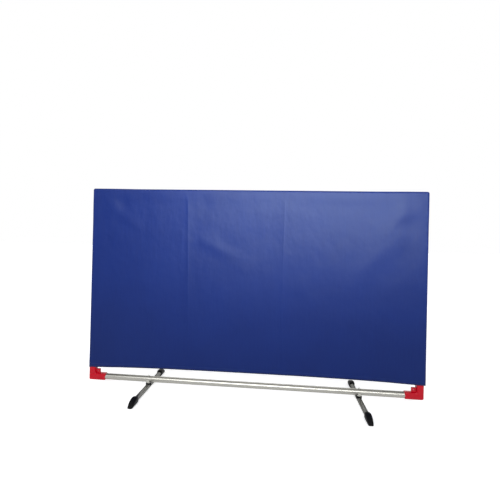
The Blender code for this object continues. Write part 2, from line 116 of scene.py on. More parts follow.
def copy_of(pattern, name, placing):
    mesh = pattern.data.copy()
    mesh.transform(placing)
    return piece_with(mesh, name)


def settle(piece, material, body, *nodes, sharp=35, weigh=True):
    piece.data.materials.clear()
    piece.data.materials.append(material)
    piece.data.shade_smooth()
    piece.data.set_sharp_from_angle(angle=math.radians(sharp))
    if weigh:
        normals = piece.modifiers.new("even shading", "WEIGHTED_NORMAL")
        normals.keep_sharp = True
    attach(piece, body)
    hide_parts(*nodes)


print("helpers for pieces: piece_with, piece_from, copy_of, settle")

# %% [markdown]
# ## Holes and joins
# A hole is cut, and a web is joined on, with an exact Boolean. It is worked into the mesh straight away, so a
# finished piece carries no modifier that depends on another object.

# %% Cut and join
def worked(piece, how, *tools):
    """Takes each bmesh out of the piece, or adds it, and leaves a plain mesh."""
    for tool_bm in tools:
        tool = piece_from(tool_bm, "tool")
        step = piece.modifiers.new("step", "BOOLEAN")
        step.operation = how
        step.solver = "EXACT"
        step.object = tool
        bpy.context.view_layer.update()
        depsgraph = bpy.context.evaluated_depsgraph_get()
        result = bpy.data.meshes.new_from_object(piece.evaluated_get(depsgraph))
        piece.modifiers.clear()
        piece.data = result
        bpy.data.objects.remove(tool, do_unlink=True)
    return piece


def carve(piece, *cutters):
    return worked(piece, "DIFFERENCE", *cutters)


def fuse(piece, *additions):
    return worked(piece, "UNION", *additions)


print("helpers for holes and joins: carve, fuse")

# %% [markdown]
# ## Round pieces
# A lathe turns a profile about an axis. bmesh's spin does the same, and use_merge closes the full turn. The profile
# is a chain of points given as radius and height. Points on the axis are merged afterwards, so a pole has one vertex,
# and the normals are recalculated because a spin may turn a shape inside out.

# %% A lathe
ALONG_X = Euler((0, math.pi / 2, 0)).to_matrix().to_4x4()
ALONG_Y = Euler((-math.pi / 2, 0, 0)).to_matrix().to_4x4()
UPWARD = Matrix.Identity(4)


def lathe(profile, steps, closed=False):
    bm = bmesh.new()
    points = [bm.verts.new((radius, 0, height)) for radius, height in profile]
    chain = list(zip(points, points[1:])) + ([(points[-1], points[0])] if closed else [])
    edges = [bm.edges.new(pair) for pair in chain]
    bmesh.ops.spin(
        bm, geom=points + edges, cent=(0, 0, 0), axis=(0, 0, 1), angle=2 * math.pi, steps=steps, use_merge=True
    )
    bmesh.ops.remove_doubles(bm, verts=bm.verts, dist=1e-6)
    bmesh.ops.recalc_face_normals(bm, faces=bm.faces)
    return bm


def put(bm, place, lie=UPWARD):
    bm.transform(Matrix.Translation(place) @ lie)
    return bm


def bar(radius, length, steps, place=(0, 0, 0), lie=UPWARD):
    half = length / 2
    return put(lathe([(0, half), (radius, half), (radius, -half), (0, -half)], steps), place, lie)


trial = bar(0.01, 0.05, 32)
print("a bar turned in 32 steps has", len(trial.faces), "faces and", len(trial.verts), "points")
trial.free()

# %% [markdown]
# ## Plain surfaces first: a small kit for materials
# Each finish is a Principled shader with a few patterns mixed in. The patterns read Object coordinates, which are the
# real metres of the model, so a scale of 1000 is a millimetre pattern. A helper adds nodes and wires them by name,
# which keeps each material down to the lines that matter.

# %% A shader kit
class Finish:
    def __init__(self, name, color, roughness, metallic=0.0, **sockets):
        self.material = bpy.data.materials.new(name)
        self.material.use_nodes = True
        self.tree = self.material.node_tree
        self.shader = self.tree.nodes["Principled BSDF"]
        self.set(self.shader, **{"Base Color": (*color, 1), "Roughness": roughness, "Metallic": metallic})
        self.set(self.shader, **sockets)
        self.where = self.add("ShaderNodeTexCoord").outputs["Object"]

    def wire(self, socket, value):
        if isinstance(value, bpy.types.NodeSocket):
            self.tree.links.new(value, socket)
        else:
            socket.default_value = value

    def set(self, node, **values):
        for key, value in values.items():
            self.wire(node.inputs[key], value)
        return node

    def add(self, kind, **values):
        return self.set(self.tree.nodes.new(kind), **values)

    def stretched(self, x, y, z):
        return self.add("ShaderNodeMapping", Vector=self.where, Scale=(x, y, z)).outputs["Vector"]

    def speckle(self, scale, detail=4, vector=None):
        texture = self.add("ShaderNodeTexNoise", Scale=scale, Detail=detail, Vector=vector or self.where)
        return texture.outputs["Fac"]

    def spread(self, value, low, high, from_low=0.0, from_high=1.0):
        ends = {"From Min": from_low, "From Max": from_high, "To Min": low, "To Max": high}
        return self.add("ShaderNodeMapRange", Value=value, **ends).outputs["Result"]

    def blend(self, factor, first, second):
        mix = self.tree.nodes.new("ShaderNodeMix")
        mix.data_type = "RGBA"
        for key, kind, value in (("Factor", "VALUE", factor), ("A", "RGBA", first), ("B", "RGBA", second)):
            socket = next(item for item in mix.inputs if item.name == key and item.type == kind)
            self.wire(socket, (*value, 1) if isinstance(value, tuple) else value)
        return next(item for item in mix.outputs if item.type == "RGBA")

    def combine(self, how, first, second):
        node = self.tree.nodes.new("ShaderNodeMath")
        node.operation = how
        self.wire(node.inputs[0], first)
        self.wire(node.inputs[1], second)
        return node.outputs[0]

    def relief(self, height, depth):
        normal = self.shader.inputs["Normal"]
        bump = self.add("ShaderNodeBump", Height=height, Distance=depth)
        if normal.is_linked:
            self.wire(bump.inputs["Normal"], normal.links[0].from_socket)
        self.wire(normal, bump.outputs["Normal"])


print("shader kit:", [name for name in vars(Finish) if not name.startswith("_")])

# %% [markdown]
# ## Plated tube
# The rail is thin-walled steel with a dull plated skin. Drawing the tube through a die leaves faint lines along it,
# and handling leaves patches that are slightly duller. Noise stretched along the tube's own axis gives the lines: the
# pattern is squeezed across the tube and left long along it. The foot tubes are plated brighter.

# %% Tube finishes
def plated_tube(name, color, roughness, along):
    # Painted shade: the low, dark tint in the reflection darkens the tube where it turns edge on, standing in for
    # dark surroundings mirrored along its sides.
    finish = Finish(name, color, roughness, 1.0, **{"Specular Tint": (0.22, 0.22, 0.20, 1)})
    stretch = [1.0, 1.0, 1.0]
    stretch["XYZ".index(along)] = 0.015
    lines = finish.speckle(1400, 2, finish.stretched(*stretch))
    patches = finish.speckle(14, 5)
    worn = finish.spread(patches, roughness - 0.06, roughness + 0.08)
    finish.set(finish.shader, Roughness=finish.combine("ADD", finish.spread(lines, -0.05, 0.06), worn))
    darker = tuple(0.86 * part for part in color)
    finish.set(finish.shader, **{"Base Color": finish.blend(patches, darker, color)})
    finish.relief(lines, 0.00002)
    return finish.material


rail_finish = plated_tube("plated_rail", (0.37, 0.365, 0.335), 0.28, "X")
upright_finish = plated_tube("plated_upright", (0.37, 0.365, 0.335), 0.28, "Z")
foot_finish = plated_tube("plated_foot_tube", (0.31, 0.31, 0.305), 0.16, "Y")
print("tube finishes:", rail_finish.name, upright_finish.name, foot_finish.name)

# %% [markdown]
# ## Moulded plastic
# The elbows are a glossy red moulding, the shoes and washers a matt black one and the saddles a pale, slightly waxy
# one. All three have the same build: a little colour variation, a fine grain as relief, and a roughness that changes
# slowly over the surface as polished and rubbed areas do. The grain is half a millimetre, so it only shows close up.

# %% Plastic finishes
def moulded(name, color, roughness, grain, **sockets):
    finish = Finish(name, color, roughness, **sockets)
    clouds = finish.speckle(35, 4)
    darker = tuple(0.82 * part for part in color)
    finish.set(finish.shader, **{"Base Color": finish.blend(clouds, darker, color)})
    finish.set(finish.shader, Roughness=finish.spread(clouds, roughness - 0.05, roughness + 0.07))
    finish.relief(finish.speckle(2200, 2), grain)
    finish.relief(finish.speckle(120, 3), grain * 2)
    return finish.material


red_finish = moulded("red_elbow_plastic", (0.54, 0.001, 0.014), 0.21, 0.00002, **{"Specular IOR Level": 0.22})
black_finish = moulded("black_shoe_plastic", (0.004, 0.004, 0.005), 0.48, 0.00008, **{"Specular IOR Level": 0.09})
pale_finish = moulded("pale_saddle_plastic", (0.66, 0.66, 0.60), 0.42, 0.00003)
print("plastic finishes:", red_finish.name, black_finish.name, pale_finish.name)

# %% [markdown]
# ## Zinc plating
# Bolts, nuts and screws are zinc plated, and the plating has a fine grain. Small spots, about a millimetre across,
# differ a little in roughness and height.

# %% Fastener finish
def zinc(name, color, roughness):
    finish = Finish(name, color, roughness, 1.0)
    spots = finish.speckle(900, 3)
    finish.set(finish.shader, Roughness=finish.spread(spots, roughness - 0.08, roughness + 0.10))
    finish.relief(spots, 0.00002)
    return finish.material


zinc_finish = zinc("zinc_fastener", (0.54, 0.54, 0.51), 0.32)
print("fastener finish:", zinc_finish.name)

# %% [markdown]
# ## The four frame tubes
# Each tube is a lathed ring with a 1.2 mm wall, so its open end is a real pipe end. The two pivot bolts pass through
# the bottom rail, and their holes are cut right through it. A hole or a hollow is larger than what fits it by a gap
# of 0.3 mm.

# %% Turn the frame's tubes
TUBE_WALL, TUBE_STEPS = 0.0012, 72
LIE_ALONG = {"x": ALONG_X, "y": ALONG_Y, "z": UPWARD}


def pipe_for(node, axis):
    low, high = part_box(node)
    size = high - low
    half, radius = size["xyz".index(axis)] / 2, min(size) / 2
    inner = radius - TUBE_WALL
    section = [(inner, half), (radius, half), (radius, -half), (inner, -half)]
    return put(lathe(section, TUBE_STEPS, closed=True), (low + high) / 2, LIE_ALONG[axis])


FIT_GAP = 0.0003
CLEAR_OF_TUBE = 0.0125 + FIT_GAP
BOLT_RADIUS = 0.003
BOLT_HOLE_RADIUS = BOLT_RADIUS + FIT_GAP
for node, axis, finish in (
    ("bottom_rail", "x", rail_finish),
    ("top_rail", "x", rail_finish),
    ("left_upright", "z", upright_finish),
    ("right_upright", "z", upright_finish),
):
    tube = piece_from(pipe_for(node, axis), f"fine_{node}")
    if node == "bottom_rail":
        carve(tube, *[bar(BOLT_HOLE_RADIUS, 0.04, 32, (x, 0, RAIL_Z)) for x in PIVOT_X.values()])
    settle(tube, finish, "frame", node)
    print(tube.name, len(tube.data.polygons), "faces")

# %% [markdown]
# ## A corner elbow
# Each corner is one glossy red moulding: two square legs with well rounded edges, and a small drilled web that fills
# the inner corner. It starts as a cube. Two of its faces are pulled out into the legs, every edge is bevelled, and
# the web is joined in. Then the sockets for the tubes are cut, with a shoulder that stops each tube short of the
# corner.

# %% Shape the elbow
elbow_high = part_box("elbow_bottom_left")[1]
ELBOW_HALF = elbow_high.y
ELBOW_REACH = elbow_high.x + UPRIGHT_X
ELBOW_ROUNDING = 0.007
PASSAGE_RADII = {"rail": 0.0095, "upright": 0.0090}
WEB_SIDE, WEB_HALF_THICKNESS, WEB_EDGE, WEB_HOLE_RADIUS = 0.018, 0.004, 0.001, 0.0025
WEB_REACH = ELBOW_HALF + WEB_SIDE
OVERSHOOT = 0.002


def block(low, high):
    size = Vector(high) - Vector(low)
    middle = (Vector(high) + Vector(low)) / 2
    bm = bmesh.new()
    bmesh.ops.create_cube(bm, size=1, matrix=Matrix.Translation(middle) @ Matrix.Diagonal(size).to_4x4())
    return bm


def soften(bm, edges, radius, steps):
    bmesh.ops.bevel(bm, geom=edges, offset=radius, segments=steps, profile=0.5, affect="EDGES", material=-1)
    return bm


def elbow_bm():
    bm = block([-ELBOW_HALF] * 3, [ELBOW_HALF] * 3)
    for axis in (Vector((1, 0, 0)), Vector((0, 0, 1))):
        end = min(bm.faces, key=lambda face: (face.calc_center_median() - axis * ELBOW_HALF).length)
        pulled = bmesh.ops.extrude_discrete_faces(bm, faces=[end])["faces"][0]
        bmesh.ops.translate(bm, verts=pulled.verts, vec=axis * (ELBOW_REACH - ELBOW_HALF))
    bmesh.ops.dissolve_limit(bm, angle_limit=math.radians(5), verts=bm.verts, edges=bm.edges)
    return soften(bm, bm.edges[:], ELBOW_ROUNDING, 8)


print("elbow", round(2 * ELBOW_HALF, 4), "across, legs reach", round(ELBOW_REACH, 4), "from its middle")

# %% [markdown]
# ## The holes in an elbow
# A leg's bore is one lathed cutter with a step in it: wide for the tube, narrower behind the shoulder. The screw
# holes are countersunk from the back. One passage is half a millimetre slimmer than the other, as the two cores of
# the mould that meet in the corner are, which also keeps the two cutters' surfaces from falling on each other.

# %% Cut one elbow
def bore_bm(passage, lie):
    profile = [
        (0, ELBOW_REACH + OVERSHOOT),
        (CLEAR_OF_TUBE, ELBOW_REACH + OVERSHOOT),
        (CLEAR_OF_TUBE, ELBOW_HALF),
        (passage, ELBOW_HALF),
        (passage, -OVERSHOOT),
        (0, -OVERSHOOT),
    ]
    return put(lathe(profile, 64), (0, 0, 0), lie)


SCREW_REACH = 0.038
SCREW_SPOTS = (Vector((SCREW_REACH, ELBOW_HALF, 0)), Vector((0, ELBOW_HALF, SCREW_REACH)))
SINK_PROFILE = [
    (0, OVERSHOOT),
    (0.0043, OVERSHOOT),
    (0.0043, -0.0002),
    (0.0023, -0.0022),
    (0.0023, -0.0085),
    (0, -0.0085),
]


def finished_elbow(name):
    elbow = piece_from(elbow_bm(), name)
    web = block((0, -WEB_HALF_THICKNESS, 0), (WEB_REACH, WEB_HALF_THICKNESS, WEB_REACH))
    fuse(elbow, soften(web, web.edges[:], WEB_EDGE, 3))
    carve(elbow, bore_bm(PASSAGE_RADII["rail"], ALONG_X), bore_bm(PASSAGE_RADII["upright"], UPWARD))
    web_middle = WEB_REACH - WEB_SIDE / 2
    carve(elbow, bar(WEB_HOLE_RADIUS, 0.012, 32, (web_middle, 0, web_middle), ALONG_Y))
    return carve(elbow, *[put(lathe(SINK_PROFILE, 40), spot, ALONG_Y) for spot in SCREW_SPOTS])


pattern = finished_elbow("elbow_pattern")
print("elbow faces:", len(pattern.data.polygons))

# %% [markdown]
# ## Four corners from one moulding
# All four elbows are the same moulding, so the pattern is copied and given quarter turns about Y. The turn goes into
# each copy's mesh. The piece itself stays at the origin, which keeps it in the model's own frame.

# %% Set the four corners
CORNERS = {
    "bottom_left": (-UPRIGHT_X, RAIL_Z, 0),
    "top_left": (-UPRIGHT_X, TOP_RAIL_Z, 90),
    "top_right": (UPRIGHT_X, TOP_RAIL_Z, 180),
    "bottom_right": (UPRIGHT_X, RAIL_Z, 270),
}


def corner_placing(corner):
    x, z, turn = CORNERS[corner]
    return Matrix.Translation((x, 0, z)) @ Matrix.Rotation(math.radians(turn), 4, "Y")


for corner in CORNERS:
    elbow = copy_of(pattern, f"fine_elbow_{corner}", corner_placing(corner))
    settle(elbow, red_finish, "frame", f"elbow_{corner}")
    print(elbow.name, "at", [round(part, 4) for part in corner_placing(corner).translation])
bpy.data.objects.remove(pattern, do_unlink=True)

# %% [markdown]
# ## The elbow screws
# A countersunk screw holds each tube in its leg from the back. The thread is cut in the lathe profile as small rings,
# which reads as a thread at this size for a fraction of the faces of a true spiral. The cross in the head is two bars
# cut out of it.

# %% Turn the screws
SCREW_LENGTH, SCREW_POINT = 0.0065, 0.0015
PITCH, ROOT_RADIUS, CREST_RADIUS = 0.0009, 0.0017, 0.0020
HEAD_PROFILE = [(0, -0.0002), (0.0039, -0.0002), (0.004, -0.0003), (0.0021, -0.0022)]
SLOT_REACH, SLOT_HALF, SLOT_FLOOR = 0.0021, 0.00045, -0.0014


def screw_bm():
    profile = HEAD_PROFILE[:]
    depth = profile[-1][1]
    while depth - PITCH > SCREW_POINT - SCREW_LENGTH:
        profile += [(ROOT_RADIUS, depth - PITCH * 0.45), (CREST_RADIUS, depth - PITCH)]
        depth -= PITCH
    return lathe(profile + [(0.0007, -SCREW_LENGTH), (0, -SCREW_LENGTH)], 32)


screw_pattern = piece_from(screw_bm(), "screw_pattern")
carve(
    screw_pattern,
    block((-SLOT_REACH, -SLOT_HALF, SLOT_FLOOR), (SLOT_REACH, SLOT_HALF, OVERSHOOT)),
    block((-SLOT_HALF, -SLOT_REACH, SLOT_FLOOR), (SLOT_HALF, SLOT_REACH, OVERSHOOT)),
)
for corner, (_, _, turn) in CORNERS.items():
    legs = ("rail", "upright") if turn in (0, 180) else ("upright", "rail")
    for leg, spot in zip(legs, SCREW_SPOTS):
        node = f"elbow_{corner}_{leg}_screw"
        placing = corner_placing(corner) @ Matrix.Translation(spot) @ ALONG_Y
        settle(copy_of(screw_pattern, f"fine_{node}", placing), zinc_finish, "frame", node, weigh=False)
print("screw faces:", len(screw_pattern.data.polygons))
bpy.data.objects.remove(screw_pattern, do_unlink=True)

# %% [markdown]
# ## The saddle under the rail
# Between the round rail and the round foot tube there has to be something with a hollow for each. The pale upper
# piece is a small funnel, wide where it cups the lower half of the rail and narrow at its foot. It is lathed about
# the pivot bolt, and then the rail's shape, a hair larger, is cut out of it.

# %% Turn and hollow the saddles
SADDLE_PROFILE = [
    (0, 0.0383),
    (0.0134, 0.0383),
    (0.0139, 0.0380),
    (0.0140, 0.0374),
    (0.0139, 0.0368),
    (0.0123, 0.0340),
    (0.0105, 0.0303),
    (0.0091, 0.0272),
    (0.0084, 0.0254),
    (0.0080, 0.0246),
    (0.0075, 0.0244),
    (0, 0.0244),
]


def near_rail(x):
    return bar(CLEAR_OF_TUBE, 0.05, 96, (x, 0, RAIL_Z), ALONG_X)


for side, x in PIVOT_X.items():
    saddle = piece_from(put(lathe(SADDLE_PROFILE, 64), (x, 0, 0)), f"fine_{side}_rail_saddle")
    carve(saddle, near_rail(x), bar(BOLT_HOLE_RADIUS, 0.05, 32, (x, 0, RAIL_Z)))
    settle(saddle, pale_finish, "frame", f"{side}_rail_saddle", sharp=30)
    print(saddle.name, len(saddle.data.polygons), "faces")

# %% [markdown]
# ## The black swivel washer
# Its flat top is the surface that the saddle's foot turns on, and its hollow underside sits over the foot tube. It
# turns with the foot, so it rides on the foot's body while the saddle above it rides on the frame.

# %% Turn and hollow the washers
WASHER_PROFILE = [
    (0, 0.0241),
    (0.0107, 0.0241),
    (0.0112, 0.0239),
    (0.0115, 0.0234),
    (0.0115, 0.0139),
    (0.0112, 0.0136),
    (0, 0.0136),
]
FOOT_RADIUS = 0.0095

for side, x in PIVOT_X.items():
    washer = piece_from(put(lathe(WASHER_PROFILE, 64), (x, 0, 0)), f"fine_{side}_swivel_washer")
    groove = bar(FOOT_RADIUS + FIT_GAP, 0.05, 96, (x, 0, FOOT_Z), ALONG_Y)
    carve(washer, groove, bar(BOLT_HOLE_RADIUS, 0.03, 32, (x, 0, 0.02)))
    settle(washer, black_finish, f"{side}_foot", f"{side}_swivel_washer", sharp=30)
    print(washer.name, len(washer.data.polygons), "faces")

# %% [markdown]
# ## Pivot bolts and lock nuts
# A low round head sits on top of the rail, and its shank goes down through everything to a lock nut inside the foot
# tube. The head's dome is a quarter of an ellipse, so its points are computed from an angle. The hexagon socket is a
# six-sided cone with equal radii, cut out.

# %% Turn the bolts and nuts
HEAD_RADIUS, HEAD_HEIGHT, HEAD_FLAT, HEAD_RIM, DOME_STEPS = 0.00525, 0.0033, 0.0031, 0.0006, 10
HEAD_SEAT_Z = RAIL_Z + CLEAR_OF_TUBE
BOLT_END_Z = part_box("left_pivot_bolt")[0].z
KEY_FLATS, KEY_DEPTH = 0.004, 0.002
NUT_FLATS, NUT_EDGE, COLLAR_HEIGHT = 0.010, 0.0003, 0.0014
COLLAR_PROFILE = [(0, 0.0028), (0.0044, 0.0028), (0.0044, 0.0004), (0.0040, 0), (0, 0)]


def hexagon(flats, low, high):
    bm = bmesh.new()
    corner, middle = flats / math.sqrt(3), Matrix.Translation((0, 0, (low + high) / 2))
    bmesh.ops.create_cone(
        bm, cap_ends=True, segments=6, radius1=corner, radius2=corner, depth=high - low, matrix=middle
    )
    return bm


def bolt_bm():
    dome = []
    for step in range(DOME_STEPS + 1):
        angle = math.pi / 2 * step / DOME_STEPS
        radius = HEAD_FLAT + (HEAD_RADIUS - HEAD_FLAT) * math.sin(angle)
        dome.append((radius, HEAD_RIM + (HEAD_HEIGHT - HEAD_RIM) * math.cos(angle)))
    end = BOLT_END_Z - HEAD_SEAT_Z
    shank = [(HEAD_RADIUS, 0.0002), (HEAD_RADIUS - 0.0002, 0), (BOLT_RADIUS, 0), (BOLT_RADIUS, end + 0.0005)]
    return lathe([(0, HEAD_HEIGHT)] + dome + shank + [(BOLT_RADIUS - 0.0005, end), (0, end)], 48)


for side, x in PIVOT_X.items():
    bolt = piece_from(bolt_bm(), f"fine_{side}_pivot_bolt")
    carve(bolt, hexagon(KEY_FLATS, HEAD_HEIGHT - KEY_DEPTH, HEAD_HEIGHT + OVERSHOOT))
    bolt.data.transform(Matrix.Translation((x, 0, HEAD_SEAT_Z)))
    settle(bolt, zinc_finish, "frame", f"{side}_pivot_bolt", sharp=30)

    nut_low, nut_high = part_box(f"{side}_lock_nut")
    blank = hexagon(NUT_FLATS, nut_low.z + COLLAR_HEIGHT, nut_high.z)
    rims = [edge for edge in blank.edges if abs(edge.verts[0].co.z - edge.verts[1].co.z) < 1e-6]
    nut = piece_from(put(soften(blank, rims, NUT_EDGE, 2), (x, 0, 0)), f"fine_{side}_lock_nut")
    fuse(nut, put(lathe(COLLAR_PROFILE, 40), (x, 0, nut_low.z)))
    carve(nut, bar(BOLT_HOLE_RADIUS, 0.03, 32, (x, 0, nut_low.z)))
    settle(nut, zinc_finish, "frame", f"{side}_lock_nut", sharp=30)
    print(bolt.name, len(bolt.data.polygons), nut.name, len(nut.data.polygons))

# %% [markdown]
# ## Foot tubes
# Each foot is a slimmer, brighter tube that lies square under the panel. A round hole in its underside lets the lock
# nut in, and a small one on top passes the bolt.

# %% Turn the foot tubes
NUT_ACCESS_RADIUS = 0.0065
for side, x in PIVOT_X.items():
    foot = piece_from(pipe_for(f"{side}_foot_tube", "y"), f"fine_{side}_foot_tube")
    access = bar(NUT_ACCESS_RADIUS, 2 * FOOT_RADIUS, 48, (x, 0, FOOT_Z - FOOT_RADIUS))
    carve(foot, access, bar(BOLT_HOLE_RADIUS, 0.02, 32, (x, 0, FOOT_Z + FOOT_RADIUS)))
    settle(foot, foot_finish, f"{side}_foot", f"{side}_foot_tube")
    print(foot.name, len(foot.data.polygons), "faces")

# %% [markdown]
# ## A curve through measured stations
# A black wedge closes each end of a foot: a round-backed collar, a top that falls in a curve to a blunt toe, and a
# flat sole. Its height and width are known at ten stations along it. Straight lines between them would leave kinks,
# so a cubic curve joins them. Its slope at a station is the harmonic mean of the slopes beside it, so it never
# overshoots.

# %% Read a smooth curve from a table
STATION_SHARES = (0, 0.04, 0.12, 0.24, 0.42, 0.56, 0.7, 0.83, 0.94, 1)
HEIGHT_SHARES = (0.91, 0.95, 0.985, 1, 0.94, 0.86, 0.74, 0.58, 0.4, 0.26)
WIDTH_SHARES = (0.9, 0.93, 0.975, 1, 0.99, 0.96, 0.91, 0.86, 0.79, 0.73)


def smooth_share(values, share):
    """Reads a table of stations with a curve that has no kinks and never overshoots."""
    last = len(STATION_SHARES) - 2
    index = min(sum(share > station for station in STATION_SHARES[1:]), last)
    slopes = [
        (values[i + 1] - values[i]) / (STATION_SHARES[i + 1] - STATION_SHARES[i]) for i in range(len(values) - 1)
    ]

    def tangent(i):
        if i == 0 or i == len(values) - 1:
            return slopes[min(i, last)]
        before, after = slopes[i - 1], slopes[i]
        return 0 if before * after <= 0 else 2 * before * after / (before + after)

    step = STATION_SHARES[index + 1] - STATION_SHARES[index]
    t = (share - STATION_SHARES[index]) / step
    start, end = values[index], values[index + 1]
    return (
        (2 * t**3 - 3 * t**2 + 1) * start
        + (t**3 - 2 * t**2 + t) * step * tangent(index)
        + (3 * t**2 - 2 * t**3) * end
        + (t**3 - t**2) * step * tangent(index + 1)
    )


print("height half way along a shoe:", round(smooth_share(HEIGHT_SHARES, 0.5), 3), "of the whole")

# %% [markdown]
# ## Wedge shoes
# The shoe starts as a block whose four long edges are rounded. The block is sliced across at many places, closest
# near its ends, and each slice is narrowed and lowered by the two curves. Then the socket for the foot tube is cut.

# %% Shape the shoes
SHOE_LENGTH, SHOE_WIDTH, SHOE_HEIGHT, FOOT_REACH = 0.058, 0.025, 0.0275, 0.203
SHOE_ROUNDING, SHOE_SOCKET_DEPTH = 0.009, 0.026
SLICES, END_CUTS = 48, {0.0125, 0.025, 0.97, 0.985, 0.995}


def slice_all(bm, point, normal):
    everything = bm.verts[:] + bm.edges[:] + bm.faces[:]
    bmesh.ops.bisect_plane(bm, geom=everything, plane_co=point, plane_no=normal)


def shoe_bm():
    collar, half = FOOT_REACH - SHOE_LENGTH, SHOE_WIDTH / 2
    bm = block((-half, collar, 0), (half, FOOT_REACH, SHOE_HEIGHT))
    long_edges = [e for e in bm.edges if abs(e.verts[0].co.y - e.verts[1].co.y) > 1e-6]
    soften(bm, long_edges, SHOE_ROUNDING, 12)
    for share in sorted({i / SLICES for i in range(1, SLICES)} | END_CUTS):
        slice_all(bm, (0, collar + share * SHOE_LENGTH, 0), (0, 1, 0))
    for vert in bm.verts:
        share = min(max((vert.co.y - collar) / SHOE_LENGTH, 0), 1)
        vert.co.x *= smooth_share(WIDTH_SHARES, share)
        vert.co.z *= smooth_share(HEIGHT_SHARES, share)
    return bm


shoe_pattern = piece_from(shoe_bm(), "shoe_pattern")
socket_middle = FOOT_REACH - SHOE_LENGTH + (SHOE_SOCKET_DEPTH - OVERSHOOT) / 2
socket = bar(FOOT_RADIUS + FIT_GAP, SHOE_SOCKET_DEPTH + OVERSHOOT, 72, (0, socket_middle, FOOT_Z), ALONG_Y)
carve(shoe_pattern, socket)
for side, x in PIVOT_X.items():
    for end, turn in (("rear", 0), ("front", 180)):
        placing = Matrix.Translation((x, 0, 0)) @ Matrix.Rotation(math.radians(turn), 4, "Z")
        shoe = copy_of(shoe_pattern, f"fine_{side}_{end}_shoe", placing)
        settle(shoe, black_finish, f"{side}_foot", f"{side}_{end}_shoe")
print("shoe faces:", len(shoe_pattern.data.polygons))
bpy.data.objects.remove(shoe_pattern, do_unlink=True)

# %% [markdown]
# ## The cloth
# The cover is a flat bag of woven polyester, pulled down over the frame like a pillow case and open at the bottom.
# Cloth this taut is better shaped by a few rules than left to a simulation, which would stretch it out of size. It
# starts as an open box with rounded folds and is sliced into a fine grid. The slices are closest where the packing
# creases run.

# %% Slice a bag into a grid
COVER_LEFT, COVER_RIGHT = -0.7022, 0.7068
COVER_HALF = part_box("cover")[1].x
COVER_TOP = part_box("cover")[1].z
COVER_EASE, FOLD_RADIUS, CLOTH_THICKNESS = 0.0009, 0.0079, 0.0006
COVER_DEPTH = ELBOW_HALF + COVER_EASE
HEM_BASE = 0.084
COVER_HEIGHT = COVER_TOP - HEM_BASE
CREASES = ((-0.280, -0.264), (0.132, 0.124))
CREASE_HALF, CREASE_MARGIN = 0.006, 0.008
GRID = 0.0105


def bag_bm():
    bm = block((COVER_LEFT, -COVER_DEPTH, HEM_BASE), (COVER_RIGHT, COVER_DEPTH, COVER_TOP))
    mouth = min(bm.faces, key=lambda face: face.calc_center_median().z)
    rim = set(mouth.edges)
    bmesh.ops.delete(bm, geom=[mouth], context="FACES_ONLY")
    soften(bm, [edge for edge in bm.edges if edge not in rim], FOLD_RADIUS, 5)
    for top_x, hem_x in CREASES:
        for share in (-1, -0.5, 0, 0.5, 1):
            slice_all(bm, (top_x + share * CREASE_HALF, 0, COVER_TOP), (COVER_HEIGHT, 0, hem_x - top_x))
    columns = int((COVER_RIGHT - COVER_LEFT) / GRID)
    for column in range(1, columns):
        x = COVER_LEFT + (COVER_RIGHT - COVER_LEFT) * column / columns
        if all(not min(pair) - CREASE_MARGIN < x < max(pair) + CREASE_MARGIN for pair in CREASES):
            slice_all(bm, (x, 0, 0), (1, 0, 0))
    rows = int(COVER_HEIGHT / GRID)
    for row in range(1, rows):
        slice_all(bm, (0, 0, HEM_BASE + COVER_HEIGHT * row / rows), (0, 0, 1))
    return bm


bag = bag_bm()
print("bag:", len(bag.verts), "points")

# %% [markdown]
# ## How the cloth lies
# Where the bag runs over an elbow it stands at its full depth. Between the elbows it lies on the thinner tubes, and
# inside the ring of tubes it hangs a little further in, which is why a paler band shows along the top and the sides.
# Each rule is a number from 0 to 1 for how far a point is from the thing that holds the cloth.

# %% Rules for how far in the cloth lies
LEG_END_X, TOP_LEG_END_Z, LOW_LEG_END_Z = 0.624, 0.782, 0.100
LEG_EASE, LOW_LEG_EASE = 0.07, 0.05
SIDE_X, TOP_Z = 0.660, TOP_RAIL_Z - 0.013
RING_X, RING_TOP_Z, RING_EASE = 0.676, TOP_RAIL_Z - 0.006, 0.050
SLACK_X, SLACK_EASE_X, SLACK_EASE_Z = 0.670, 0.30, 0.25


def ease(share):
    share = min(max(share, 0), 1)
    return share * share * (3 - 2 * share)


def from_elbows(x, z):
    """0 over an elbow, 1 well away from all four."""
    along_top = ease((LEG_END_X - abs(x)) / LEG_EASE)
    down_side = ease((TOP_LEG_END_Z - z) / LEG_EASE) * ease((z - LOW_LEG_END_Z) / LOW_LEG_EASE)
    if abs(x) > SIDE_X:
        return down_side if z < TOP_Z else min(along_top, down_side)
    return along_top if z > TOP_Z else max(along_top, down_side)


def inside_ring(x, z):
    """0 over the tubes, 1 inside the ring that they make."""
    return ease((RING_X - abs(x)) / RING_EASE) * ease((RING_TOP_Z - z) / RING_EASE)


def slack(x, z):
    """0 at the ring, 1 in the open middle and down to the loose hem."""
    return ease((SLACK_X - abs(x)) / SLACK_EASE_X) * ease((TOP_RAIL_Z - z) / SLACK_EASE_Z)


print("slack in the middle", round(slack(0, 0.45), 2), "and beside the right upright", round(slack(0.60, 0.45), 2))

# %% [markdown]
# ## Creases and pulls
# The cloth was folded in a packet, and two sharp creases still run from top to hem. Pulls run slantwise in from the
# upper corners and the right edge, because the bag hangs from its corners. A crease is a small roof along a line. A
# pull is a rounded ridge whose strength fades towards both its ends, and it is listed by its start, its end, its
# width and its height. Low waves from a noise function keep any area from being perfectly flat.

